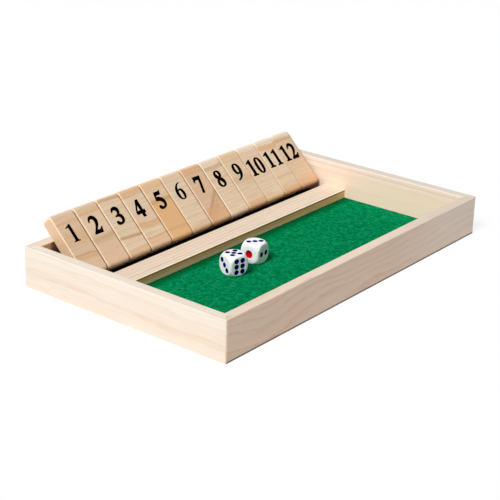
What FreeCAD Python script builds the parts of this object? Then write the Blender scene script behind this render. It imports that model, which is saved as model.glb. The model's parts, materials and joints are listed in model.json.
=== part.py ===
import FreeCAD, Part
import os
import Sketcher

# A flip-tile dice game: a shallow pine tray with a felt floor, twelve tiles that turn on a rod,
# a divider rail that the flipped tiles lie on, and two dice.
# Millimetres, +X along the tile row, -Y towards the player, +Z up.
# The origin is the centre of the tray's underside.

# Driving dimensions
SIZES = {
    # Tray walls
    "wall_thickness": 8.5,
    "wall_height": 31,
    "wall_arris": 0.8,
    "corner_radius": 1.4,
    # Floor, set into a rebate along the foot of the walls
    "base_thickness": 2,
    "rebate_depth": 4,
    "panel_clearance": 0.2,
    "felt_thickness": 0.8,
    "felt_margin": 0.3,
    # Dice well and divider rail, from the player's side to the tile bay
    "well_depth": 111.5,
    "rail_width": 21.5,
    "rail_height": 7.5,
    "rail_arris": 0.5,
    "rail_clearance": 0.1,
    # Rod that the tiles turn on
    "rod_diameter": 4,
    "rod_from_rail": 12.6,
    "rod_from_back_wall": 23.4,
    "rod_seat_depth": 5,
    "rod_seat_clearance": 0.05,
    "rod_end_clearance": 0.3,
    "rod_chamfer": 0.4,
    # Flip tiles
    "tile_count": 12,
    "tile_width": 22.8,
    "tile_gap": 0.42,
    "row_start_gap": 11.75,
    "row_end_gap": 3.03,
    "tile_length": 52.4,
    "tile_thickness": 10.5,
    "tile_heel": 8.6,
    "tile_front_radius": 3.5,
    "tile_back_radius": 2.4,
    "tile_bore_clearance": 0.08,
    "tile_wall_gap": 0.3,
    "tile_rail_gap": 0.3,
    # Dice
    "die_size": 16,
    "die_corner_cut": 2.9,
    "pip_sides": 12,
    "pip_diameter": 3.7,
    "pip_depth": 0.5,
    "ace_diameter": 6,
    "ace_depth": 0.9,
    "pip_inset": 4.7,
    "pair_inset": 5,
    "six_row_inset": 3.7,
    "six_column_inset": 5.4,
    # Where the dice lie on the felt
    "left_die_across": -41.6,
    "left_die_from_rail": 33.3,
    "left_die_turn": -17.1,
    "right_die_across": -13.3,
    "right_die_from_rail": 30.5,
    "right_die_turn": 5.4,
}

# Sizes and places that follow from the driving dimensions
LAYOUT = {
    "tile_pitch": "Sizes.tile_width + Sizes.tile_gap",
    "row_length": "Sizes.tile_count * tile_pitch - Sizes.tile_gap",
    "inner_length": "Sizes.row_start_gap + row_length + Sizes.row_end_gap",
    "bay_depth": "Sizes.rod_from_rail + Sizes.rod_from_back_wall",
    "inner_width": "Sizes.well_depth + Sizes.rail_width + bay_depth",
    "half_length": "inner_length / 2 + Sizes.wall_thickness",
    "half_width": "inner_width / 2 + Sizes.wall_thickness",
    "felt_top": "Sizes.base_thickness + Sizes.felt_thickness",
    "rail_top": "Sizes.base_thickness + Sizes.rail_height",
    "rail_front": "Sizes.well_depth - inner_width / 2",
    "rail_back": "rail_front + Sizes.rail_width",
    "rod_radius": "Sizes.rod_diameter / 2",
    "rod_y": "rail_back + Sizes.rod_from_rail",
    "rod_z": "rail_top + Sizes.tile_thickness / 2 + Sizes.tile_rail_gap",
    # The tile leans until its back lies on the rounded top edge of the back wall
    "edge_y": "Sizes.rod_from_back_wall + Sizes.wall_arris",
    "edge_z": "Sizes.wall_height - Sizes.wall_arris - rod_z",
    "edge_reach": "sqrt(edge_y ^ 2 + edge_z ^ 2)",
    "edge_offset": "Sizes.tile_thickness / 2 + Sizes.tile_wall_gap + Sizes.wall_arris",
    "tile_lean": "90 - (atan2(edge_z; edge_y) + asin(edge_offset / edge_reach)) / 1 deg",
    "die_half": "Sizes.die_size / 2",
    "die_ball": "die_half * sqrt(3) - Sizes.die_corner_cut",
}

# Pips of each face as shares of the two offsets beside them
CORNERS = ((-1, -1), (1, 1), (-1, 1), (1, -1))
FALLING = ((-1, 1), (0, 0), (1, -1))
RISING = ((-1, -1), (0, 0), (1, 1))
SIX = tuple((column, row) for column in (-1, 1) for row in (-1, 0, 1))

doc = FreeCAD.newDocument("dice_game")


# Spreadsheets


def add_sheet(name, cells):
    """A sheet with one named cell per line."""
    sheet = doc.addObject("Spreadsheet::Sheet", name)
    for row, (alias, content) in enumerate(cells.items(), start=1):
        sheet.set(f"A{row}", alias)
        sheet.setAlias(f"B{row}", alias)
        sheet.set(f"B{row}", content)
    doc.recompute()
    return sheet


sizes = add_sheet("Sizes", {name: str(value) for name, value in SIZES.items()})
layout = add_sheet("Layout", {name: "=" + formula for name, formula in LAYOUT.items()})


# Sketch and feature helpers


def add_body(name):
    return doc.addObject("PartDesign::Body", name)


def add_sketch(body, name, role):
    """An empty sketch on one of the body's own origin planes."""
    sketch = body.newObject("Sketcher::SketchObject", name)
    plane = next(feature for feature in body.Origin.OriginFeatures if feature.Role == role)
    sketch.AttachmentSupport = [(plane, "")]
    sketch.MapMode = "FlatFace"
    return sketch


def value_of(formula):
    """The number that a formula gives with the present sizes."""
    return float(sizes.evalExpression(formula))


def constrain(sketch, formula, kind, *where):
    """A dimension of the sketch that follows a formula."""
    index = sketch.addConstraint(Sketcher.Constraint(kind, *where, value_of(formula)))
    sketch.setExpression(f"Constraints[{index}]", formula)


def pin(sketch, edge, end, place):
    """Place one end of an edge by its two distances from the sketch's origin."""
    constrain(sketch, place[0], "DistanceX", -1, 1, edge, end)
    constrain(sketch, place[1], "DistanceY", -1, 1, edge, end)


def vector_of(place):
    return FreeCAD.Vector(value_of(place[0]), value_of(place[1]), 0)


def add_outline(sketch, corners):
    """A closed outline with straight edges through corners given as pairs of formulas."""
    first = sketch.GeometryCount
    points = [vector_of(corner) for corner in corners]
    for start, end in zip(points, points[1:] + points[:1]):
        sketch.addGeometry(Part.LineSegment(start, end), False)
    for index, corner in enumerate(corners):
        following = (index + 1) % len(corners)
        sketch.addConstraint(Sketcher.Constraint("Coincident", first + index, 2, first + following, 1))
        pin(sketch, first + index, 1, corner)


def add_rectangle(sketch, low, high):
    add_outline(sketch, [low, (high[0], low[1]), high, (low[0], high[1])])


def add_circle(sketch, centre, radius):
    circle = Part.Circle(vector_of(centre), FreeCAD.Vector(0, 0, 1), value_of(radius))
    index = sketch.addGeometry(circle, False)
    pin(sketch, index, 3, centre)
    constrain(sketch, radius, "Radius", index)


def add_pad(body, sketch, length):
    pad = body.newObject("PartDesign::Pad", "Pad")
    pad.Profile = sketch
    pad.setExpression("Length", length)
    sketch.Visibility = False
    doc.recompute()
    return pad


def add_pocket(body, sketch, length, reverse=False):
    """A pocket that has to take material away."""
    before = body.Shape.Volume
    pocket = body.newObject("PartDesign::Pocket", "Pocket")
    pocket.Profile = sketch
    pocket.setExpression("Length", length)
    pocket.Reversed = reverse
    doc.recompute()
    if body.Shape.Volume >= before:
        raise RuntimeError(f"{body.Label}: {sketch.Label} cuts nothing")
    return pocket


def add_edge_feature(body, kind, size, chosen):
    """Round or chamfer the edges of the body that pass the test in chosen."""
    base = body.Tip
    names = [f"Edge{i}" for i, edge in enumerate(base.Shape.Edges, start=1) if chosen(edge)]
    feature = body.newObject(f"PartDesign::{kind}", kind)
    feature.Base = (base, names)
    feature.setExpression("Radius" if kind == "Fillet" else "Size", size)
    doc.recompute()
    return feature


def lies_at(edge, axis, level):
    """True if the whole edge lies at one level along an axis."""
    box = edge.BoundBox
    low, high = (getattr(box, axis + "Min"), getattr(box, axis + "Max"))
    return abs(low - level) < 1e-5 and abs(high - level) < 1e-5


def is_long_x(edge):
    """True for a straight edge along X."""
    return edge.BoundBox.YLength < 1e-5 and edge.BoundBox.ZLength < 1e-5


# Tray walls


def add_corner_cut(body, side_x, side_y):
    """Round the tray's upright outer corner on one end of a mitred wall."""
    along = f"{side_x} * Layout.half_length"
    across = f"{side_y} * Layout.half_width"
    before_corner = (f"{side_x} * (Layout.half_length - Sizes.corner_radius)", across)
    after_corner = (along, f"{side_y} * (Layout.half_width - Sizes.corner_radius)")
    corner = (along, across)
    centre = FreeCAD.Vector(value_of(before_corner[0]), value_of(after_corner[1]), 0)
    radius = value_of("Sizes.corner_radius")
    turn_start = {(1, 1): 0, (-1, 1): 90, (-1, -1): 180, (1, -1): 270}[side_x, side_y]
    start_angle = FreeCAD.Units.Quantity(turn_start, "deg").getValueAs("rad").Value
    end_angle = FreeCAD.Units.Quantity(turn_start + 90, "deg").getValueAs("rad").Value

    sketch = add_sketch(body, "CornerSketch", "XY_Plane")
    sketch.addGeometry(Part.LineSegment(vector_of(before_corner), vector_of(corner)), False)
    sketch.addGeometry(Part.LineSegment(vector_of(corner), vector_of(after_corner)), False)
    circle = Part.Circle(centre, FreeCAD.Vector(0, 0, 1), radius)
    sketch.addGeometry(Part.ArcOfCircle(circle, start_angle, end_angle), False)
    # The arc runs anticlockwise, so it starts on the end face where the two sides agree
    arc_first, arc_last = (1, 2) if side_x == side_y else (2, 1)
    sketch.addConstraint(Sketcher.Constraint("Coincident", 0, 2, 1, 1))
    sketch.addConstraint(Sketcher.Constraint("Coincident", 1, 2, 2, arc_first))
    sketch.addConstraint(Sketcher.Constraint("Coincident", 2, arc_last, 0, 1))
    pin(sketch, 0, 1, before_corner)
    pin(sketch, 1, 1, corner)
    pin(sketch, 1, 2, after_corner)
    constrain(sketch, "Sizes.corner_radius", "Radius", 2)
    add_pocket(body, sketch, "Sizes.wall_height", reverse=True)


def add_wall(name, corners):
    """A mitred wall between two corners of the tray, with a rebate for the floor."""

    def plan(half_length, half_width):
        return [(f"{x} * ({half_length})", f"{y} * ({half_width})") for x, y in corners]

    outer = plan("Layout.half_length", "Layout.half_width")
    inner = plan("Layout.inner_length / 2", "Layout.inner_width / 2")
    step = plan(
        "Layout.inner_length / 2 + Sizes.rebate_depth",
        "Layout.inner_width / 2 + Sizes.rebate_depth",
    )
    body = add_body(name)
    sketch = add_sketch(body, "PlanSketch", "XY_Plane")
    add_outline(sketch, [outer[0], outer[1], inner[1], inner[0]])
    add_pad(body, sketch, "Sizes.wall_height")
    sketch = add_sketch(body, "RebateSketch", "XY_Plane")
    add_outline(sketch, [step[0], step[1], inner[1], inner[0]])
    add_pocket(body, sketch, "Sizes.base_thickness", reverse=True)
    for side_x, side_y in corners:
        add_corner_cut(body, side_x, side_y)
    return body


def round_wall(body):
    """Break the wall's top edges, but not the edges of its mitres."""
    height = value_of("Sizes.wall_height")

    def is_top_arris(edge):
        box = edge.BoundBox
        on_mitre = abs(box.XLength - box.YLength) < 1e-5 and edge.Curve.TypeId == "Part::GeomLine"
        return lies_at(edge, "Z", height) and not on_mitre

    add_edge_feature(body, "Fillet", "Sizes.wall_arris", is_top_arris)


def add_rod_seat(body, side):
    """A blind hole in the inner face of an end wall for the rod's end."""
    sketch = add_sketch(body, "RodSeatSketch", "YZ_Plane")
    add_circle(sketch, ("Layout.rod_y", "Layout.rod_z"), "Layout.rod_radius + Sizes.rod_seat_clearance")
    depth = "Layout.inner_length / 2 + Sizes.rod_seat_depth"
    add_pocket(body, sketch, depth, reverse=side > 0)


front_wall = add_wall("front_wall", ((-1, -1), (1, -1)))
back_wall = add_wall("back_wall", ((-1, 1), (1, 1)))
left_end_wall = add_wall("left_end_wall", ((-1, -1), (-1, 1)))
right_end_wall = add_wall("right_end_wall", ((1, -1), (1, 1)))
add_rod_seat(left_end_wall, -1)
add_rod_seat(right_end_wall, 1)
walls = [front_wall, back_wall, left_end_wall, right_end_wall]
for wall in walls:
    round_wall(wall)


# Floor panel, felt and divider rail


def add_slab(name, half_length, front, back, thickness, level):
    """A flat piece, centred along X, between two places in Y, lying at a level."""
    body = add_body(name)
    sketch = add_sketch(body, "PlanSketch", "XY_Plane")
    add_rectangle(sketch, (f"-({half_length})", front), (half_length, back))
    add_pad(body, sketch, thickness)
    body.setExpression("Placement.Base.z", level)
    return body


panel_reach = "Sizes.rebate_depth - Sizes.panel_clearance"
base_panel = add_slab(
    "base_panel",
    f"Layout.inner_length / 2 + {panel_reach}",
    f"-(Layout.inner_width / 2 + {panel_reach})",
    f"Layout.inner_width / 2 + {panel_reach}",
    "Sizes.base_thickness",
    "0",
)
felt_mat = add_slab(
    "felt_mat",
    "Layout.inner_length / 2 - Sizes.felt_margin",
    "-(Layout.inner_width / 2 - Sizes.felt_margin)",
    "Layout.rail_front - Sizes.felt_margin",
    "Sizes.felt_thickness",
    "Sizes.base_thickness",
)
divider_rail = add_slab(
    "divider_rail",
    "Layout.inner_length / 2 - Sizes.rail_clearance",
    "Layout.rail_front",
    "Layout.rail_back",
    "Sizes.rail_height",
    "Sizes.base_thickness",
)
rail_height = value_of("Sizes.rail_height")
add_edge_feature(
    divider_rail,
    "Fillet",
    "Sizes.rail_arris",
    lambda edge: is_long_x(edge) and lies_at(edge, "Z", rail_height),
)


# Rod through the tiles


def add_rod():
    body = add_body("tile_rod")
    sketch = add_sketch(body, "SectionSketch", "YZ_Plane")
    add_circle(sketch, ("0", "0"), "Layout.rod_radius")
    reach = "(Layout.inner_length / 2 + Sizes.rod_seat_depth - Sizes.rod_end_clearance)"
    add_pad(body, sketch, f"2 * {reach}")
    add_edge_feature(body, "Chamfer", "Sizes.rod_chamfer", lambda edge: edge.BoundBox.XLength < 1e-5)
    body.setExpression("Placement.Base.x", f"-{reach}")
    body.setExpression("Placement.Base.y", "Layout.rod_y")
    body.setExpression("Placement.Base.z", "Layout.rod_z")
    return body


tile_rod = add_rod()


# Flip tiles


def add_tile(number):
    """A moulded tile, rounded more in front than behind, bored across its heel for the rod."""
    body = add_body(f"tile_{number:02d}")
    sketch = add_sketch(body, "ProfileSketch", "YZ_Plane")
    half = "Sizes.tile_thickness / 2"
    add_rectangle(sketch, (f"-{half}", "-Sizes.tile_heel"), (half, "Sizes.tile_length - Sizes.tile_heel"))
    add_pad(body, sketch, "Sizes.tile_width")
    face = value_of(half)
    for side, radius in ((-1, "Sizes.tile_front_radius"), (1, "Sizes.tile_back_radius")):
        add_edge_feature(
            body,
            "Fillet",
            radius,
            lambda edge: is_long_x(edge) and lies_at(edge, "Y", side * face),
        )
    sketch = add_sketch(body, "BoreSketch", "YZ_Plane")
    add_circle(sketch, ("0", "0"), "Layout.rod_radius + Sizes.tile_bore_clearance")
    add_pocket(body, sketch, "Sizes.tile_width", reverse=True)

    start = "Sizes.row_start_gap - Layout.inner_length / 2"
    body.Placement.Rotation.Axis = FreeCAD.Vector(1, 0, 0)
    body.setExpression("Placement.Rotation.Angle", "-Layout.tile_lean * 1 deg")
    body.setExpression("Placement.Base.x", f"{start} + {number - 1} * Layout.tile_pitch")
    body.setExpression("Placement.Base.y", "Layout.rod_y")
    body.setExpression("Placement.Base.z", "Layout.rod_z")
    return body


tiles = [add_tile(number) for number in range(1, SIZES["tile_count"] + 1)]


# Dice


def pip_places(number, spread):
    """Pips of one face: their places on it, and the offsets from its edge that they keep."""
    corner = ("Sizes.pip_inset", "Sizes.pip_inset")
    if number == 1:
        return [(0, 0)], corner
    if number == 2:
        return [(-1, 0), (1, 0)], ("Sizes.pair_inset", "Sizes.pair_inset")
    if number == 3:
        return list(spread), corner
    if number == 4:
        return list(CORNERS), corner
    if number == 5:
        return list(CORNERS) + [(0, 0)], corner
    return list(SIX), ("Sizes.six_column_inset", "Sizes.six_row_inset")


def add_pip(name, number, normal_axis, side, shares, insets):
    """The plug that sinks one pip, straight-sided with a flat floor, into a face of the die."""
    size = "ace" if number == 1 else "pip"
    depth = f"Sizes.{size}_depth"
    plug = doc.addObject("Part::Prism", name)
    plug.setExpression("Polygon", "Sizes.pip_sides")
    plug.setExpression("Circumradius", f"Sizes.{size}_diameter / 2")
    plug.setExpression("Height", f"2 * {depth}")
    outward = FreeCAD.Vector(*(side * (axis == normal_axis) for axis in "xyz"))
    plug.Placement.Rotation = FreeCAD.Rotation(FreeCAD.Vector(0, 0, 1), outward)
    plug.setExpression(f"Placement.Base.{normal_axis}", f"{side} * (Layout.die_half - {depth})")
    across, up = {"x": ("y", "z"), "y": ("x", "z"), "z": ("x", "y")}[normal_axis]
    for axis, share, inset in zip((across, up), shares, insets):
        plug.setExpression(f"Placement.Base.{axis}", f"{share} * (Layout.die_half - {inset})")
    return plug


def add_die(name, faces, spread, place):
    """A die with its edges turned to a ball and its pips sunk; faces maps number to direction."""
    cube = doc.addObject("Part::Box", f"{name}_cube")
    for side in ("Length", "Width", "Height"):
        cube.setExpression(side, "Sizes.die_size")
    for axis in "xyz":
        cube.setExpression(f"Placement.Base.{axis}", "-Layout.die_half")
    ball = doc.addObject("Part::Sphere", f"{name}_ball")
    ball.setExpression("Radius", "Layout.die_ball")
    blank = doc.addObject("Part::Common", f"{name}_blank")
    blank.Base = cube
    blank.Tool = ball

    pips = []
    for number, (normal_axis, side) in faces.items():
        places, insets = pip_places(number, spread)
        for index, shares in enumerate(places):
            pip_name = f"{name}_pip_{number}_{index}"
            pips.append(add_pip(pip_name, number, normal_axis, side, shares, insets))
    all_pips = doc.addObject("Part::MultiFuse", f"{name}_pips")
    all_pips.Shapes = pips
    die = doc.addObject("Part::Cut", name)
    die.Base = blank
    die.Tool = all_pips

    die.Placement.Rotation.Axis = FreeCAD.Vector(0, 0, 1)
    die.setExpression("Placement.Rotation.Angle", f"Sizes.{place}_turn * 1 deg")
    die.setExpression("Placement.Base.x", f"Sizes.{place}_across")
    die.setExpression("Placement.Base.y", f"Layout.rail_front - Sizes.{place}_from_rail")
    die.setExpression("Placement.Base.z", "Layout.felt_top + Layout.die_half")
    return die


left_die_faces = {5: ("z", 1), 2: ("z", -1), 3: ("x", -1), 4: ("x", 1), 6: ("y", -1), 1: ("y", 1)}
right_die_faces = {3: ("z", 1), 4: ("z", -1), 1: ("x", -1), 6: ("x", 1), 2: ("y", -1), 5: ("y", 1)}
die_left = add_die("die_left", left_die_faces, RISING, "left_die")
die_right = add_die("die_right", right_die_faces, FALLING, "right_die")


# Check every piece, then write one file for each

doc.recompute()
pieces = walls + [base_panel, felt_mat, divider_rail, tile_rod] + tiles + [die_left, die_right]
for item in doc.Objects:
    if "Invalid" in item.State or "Error" in item.State:
        raise RuntimeError(f"{item.Label} failed: {item.State}")
for piece in pieces:
    if piece.Shape.isNull() or not piece.Shape.isValid() or len(piece.Shape.Solids) != 1:
        raise RuntimeError(f"{piece.Label} is not one sound solid")

os.makedirs("parts", exist_ok=True)
for piece in pieces:
    piece.Shape.exportStep(f"parts/{piece.Label}.step")

print(f"{len(pieces)} pieces")
print(f"tray {2 * layout.half_length:.2f} x {2 * layout.half_width:.2f} x {sizes.wall_height}")
print(f"rod axis y {layout.rod_y:.3f} z {layout.rod_z:.3f}, tile lean {layout.tile_lean:.3f} degrees")
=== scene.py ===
"""Looks of a flip-tile dice game: pine tray, green felt, twelve numbered tiles and two dice."""

import json
import math
import random
from collections import namedtuple

import bmesh
import bpy
from mathutils import Matrix, Vector, noise


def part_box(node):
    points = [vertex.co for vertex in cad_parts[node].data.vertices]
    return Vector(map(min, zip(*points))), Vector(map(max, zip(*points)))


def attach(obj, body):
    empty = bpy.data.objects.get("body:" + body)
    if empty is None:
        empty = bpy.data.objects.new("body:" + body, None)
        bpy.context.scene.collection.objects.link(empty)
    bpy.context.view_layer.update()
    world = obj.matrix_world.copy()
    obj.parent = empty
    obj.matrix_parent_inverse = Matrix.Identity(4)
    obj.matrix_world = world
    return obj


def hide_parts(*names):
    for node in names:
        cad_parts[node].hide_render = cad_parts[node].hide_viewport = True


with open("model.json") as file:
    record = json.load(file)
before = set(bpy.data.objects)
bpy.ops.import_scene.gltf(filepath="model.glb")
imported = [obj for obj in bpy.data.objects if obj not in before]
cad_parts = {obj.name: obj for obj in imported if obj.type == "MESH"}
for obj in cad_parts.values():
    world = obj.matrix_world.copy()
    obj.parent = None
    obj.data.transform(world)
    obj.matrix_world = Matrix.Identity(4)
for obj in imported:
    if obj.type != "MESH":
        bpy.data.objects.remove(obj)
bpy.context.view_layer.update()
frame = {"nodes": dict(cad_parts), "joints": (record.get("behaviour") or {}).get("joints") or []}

MM = 0.001

# Camera, at the photograph's viewing angle
CAMERA_AZIMUTH = -51.81
CAMERA_ELEVATION = 22.27
CAMERA_ROLL = 1.52
CAMERA_DISTANCE = 1047.4 * MM
CAMERA_TARGET = Vector((-22.17, -5.96, 15.0)) * MM
CAMERA_LENS = 101.89
CAMERA_SENSOR = 36.0
CAMERA_NEAR = 10.0 * MM

# Light: a broad soft sun from the left and an even sky
SUN_DIRECTION = Vector((-0.66, -0.05, 0.75))
SUN_STRENGTH = 3.1
SUN_SPREAD = 20.0
SKY_STRENGTH = 0.25
FLOOR_SIZE = 6.0
FLOOR_CELLS = 8
FLOOR_DROP = 0.05 * MM
FLOOR_WHITENESS = 0.85

# Tile, in its own frame: across on X, its front at -Y, up on Z from the rod's axis
TILE_WIDTH = 22.8
TILE_FACE = 5.25
TILE_TOP = 43.8
TILE_HEEL = 8.6
TILE_FRONT_RADIUS = 3.5
TILE_BACK_RADIUS = 3.4
TILE_HEEL_RADIUS = 2.9
TILE_UNDER_RADIUS = 2.4
TILE_BORE_RADIUS = 2.08
TILE_ARRIS_STEPS = 4
TILE_CROWN = 1.2
TILE_CROWN_WIDTH = 2.4
TILE_CROWN_STEPS = 4
TILE_CORNER_STEPS = 8
TILE_BORE_STEPS = 32
TILE_SHARP_ANGLE = 50.0
NUMBER_HEIGHT = 14.4
NUMBER_CENTRE = 19.1
NUMBER_PAIR_GAP = 4.0
NUMBER_CURVE_STEPS = 8
INK_THICKNESS = 0.04

# Felt: its nap is a coarse and a fine noise round a mean, as shares of its depth
FELT_CELL = 1.6 * MM
FELT_NAP = 0.16 * MM
FELT_NAP_SCALE = 450.0
FELT_NAP_FINER = 2.5
NAP_MEAN = 0.5
NAP_COARSE = 0.35
NAP_FINE = 0.15
FELT_EDGE_WANDER = 0.12 * MM
FELT_EDGE_SCALE = 60
FELT_RIM = 0.499
FIBRE_COUNT = 700
FIBRE_LENGTH = (2.0 * MM, 5.0 * MM)
FIBRE_RADIUS = 0.06 * MM
FIBRE_JOINTS = 4
FIBRE_SIDES = 3
FIBRE_CURL = 0.9
FIBRE_SEED = 7

# Dice, in their own frames: the number on each face, by its axis and side, and the slant of the three
DIE_HALF = 8.0
DIE_CORNER_CUT = 2.9
DIE_BALL = DIE_HALF * math.sqrt(3) - DIE_CORNER_CUT
DIE_SQUARENESS = 17.0
DIE_BLEND = 0.7
DIE_CUTS = 63
DIE_GLOW = 0.25
DIE_GLOW_REACH = 2.0 * MM
DIE_POLISH = 0.5
PIP_RADIUS = 2.0
PIP_DEPTH = 0.6
PIP_RIM = 0.04
ACE_RADIUS = 3.1
ACE_DEPTH = 1.5
PIP_CORNER = 3.3
PIP_PAIR = 3.0
SIX_COLUMN = 2.6
SIX_ROW = 4.3
Die = namedtuple("Die", "turn slant faces")
DICE = {
    "die_left": Die(-17.1, 1, {(2, 1): 5, (2, -1): 2, (0, -1): 3, (0, 1): 4, (1, -1): 6, (1, 1): 1}),
    "die_right": Die(5.4, -1, {(2, 1): 3, (2, -1): 4, (0, -1): 1, (0, 1): 6, (1, -1): 2, (1, 1): 5}),
}


def linear(channel):
    """One screen channel, 0 to 255, as light."""
    share = channel / 255
    return share / 12.92 if share <= 0.04045 else ((share + 0.055) / 1.055) ** 2.4


def rgb(red, green, blue):
    """A screen colour as the shaders take it."""
    return (linear(red), linear(green), linear(blue), 1.0)


# Colours of the tray
PINE_PALE = rgb(240, 222, 204)
PINE_BLOND = rgb(242, 224, 210)
PINE_CREAM = rgb(242, 231, 218)
PINE_YELLOW = rgb(255, 238, 220)
PINE_LATE = rgb(212, 182, 152)
PINE_WARM = rgb(236, 212, 184)
PINE_GREY = rgb(214, 203, 192)
PINE_WHITE = rgb(255, 250, 242)
PINE_BLUSH = rgb(252, 236, 222)
PINE_ORANGE = rgb(255, 195, 146)
# Painted light on the right wall's inner face
PEACH_PAINTED_LIGHT = rgb(255, 224, 203)
PINE_DUSTY = rgb(180, 161, 142)
# Painted contact shadow along the foot of the front wall
FOOT_SHADE_GREY = rgb(70, 64, 62)
# Painted highlight band and painted shade line along the right wall's inner top arris
INNER_ARRIS_HIGHLIGHT = rgb(255, 233, 219)
INNER_ARRIS_SHADE = rgb(222, 184, 150)
RAIL_FACE = rgb(255, 182, 112)
RAIL_LINE = rgb(156, 101, 56)
RAIL_FOOT = rgb(255, 234, 196)
# Painted highlight along the rail's front arris
RAIL_HIGHLIGHT = rgb(255, 246, 226)
# Painted light bounced from the right wall onto the rail's front face
RAIL_BOUNCE_LIGHT = rgb(255, 206, 140)
# Painted shade in the bay behind the rail, brown and near-black, with a painted lighter tan where light
# reaches its left end
BAY_SHADE_BROWN = rgb(150, 92, 50)
BAY_LIT_TAN = rgb(255, 206, 158)
BAY_SHADE_DARK = rgb(14, 10, 8)
PLY_PALE = rgb(226, 198, 160)
PLY_LATE = rgb(196, 156, 112)
PLY_WARM = rgb(214, 178, 136)
STEEL_GREY = rgb(178, 178, 182)
STEEL_BRIGHT = rgb(206, 206, 208)

# Colours of the tiles and their ink
SAND = rgb(249, 223, 190)
BUFF = rgb(245, 217, 181)
TAN = rgb(240, 208, 172)
RUSSET = rgb(239, 200, 163)
TILE_LATE = rgb(222, 180, 138)
ROSE = rgb(238, 196, 164)
AMBER = rgb(226, 172, 122)
HONEY = rgb(236, 182, 120)
UMBER = rgb(198, 146, 102)
# Painted highlight on the tiles' left arrises
ARRIS_HIGHLIGHT = rgb(255, 242, 220)
TILE_END = rgb(222, 182, 146)
# Painted highlight where the tiles' tops catch the light
TILE_TOP_HIGHLIGHT = rgb(250, 238, 222)
# Painted shade in the gaps between the tiles
GAP_SHADE_BROWN = rgb(140, 76, 26)
INK_BLACK = rgb(2, 2, 2)
INK_THIN = rgb(14, 12, 10)

# Colours of the felt, the dice and the floor
FELT_DARK = rgb(0, 104, 56)
FELT_GREEN = rgb(0, 127, 76)
FELT_LIGHT = rgb(14, 148, 98)
FELT_SHADE = rgb(0, 80, 30)
# Painted contact shadow on the felt at the foot of the rail
FELT_CONTACT_SHADE = rgb(0, 36, 4)
FLECK_PALE = rgb(34, 156, 106)
FLECK_DARK = rgb(0, 106, 58)
FIBRE_DARK = rgb(6, 128, 76)
FIBRE_PALE = rgb(58, 162, 118)
DIE_IVORY = rgb(246, 245, 253)
DIE_WHITE = rgb(251, 250, 255)
PIP_NAVY = rgb(6, 6, 96)
ACE_RED = rgb(190, 6, 10)
PAPER_GREY = rgb(220, 220, 220)
PAPER_PALE = rgb(224, 224, 224)
PAPER_WHITE = rgb(254, 254, 254)

# Noise seldom leaves this range
NOISE_LOW = 0.25
NOISE_HIGH = 0.75
NOISE_MIDDLE = (0.5, 0.5, 0.5)

# Features in each millimetre of a texture, along each axis
SWAY_ACROSS = 0.03
WOBBLE_SCALE = (0.02, 0.25, 0.25)
STREAK_SCALE = (0.006, 0.11, 0.11)
GRAIN_SCALE = (0.05, 2.2, 2.2)
BAND_SCALE = (0.07, 0.02, 0.02)
MOTTLE_SCALE = (0.28, 0.28, 0.28)
FLECK_SCALE = (0.6, 0.6, 0.6)
FIBRE_SCALE = (0.3, 0.3, 0.3)
STEEL_SCALE = (0.02, 6.0, 6.0)
CLOUD_SCALE = (0.15, 0.15, 0.15)
SCUFF_SCALE = (1.5, 1.5, 1.5)
INK_SCALE = (0.5, 0.5, 0.5)
PAPER_SCALE = (0.02, 0.02, 0.02)


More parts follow.
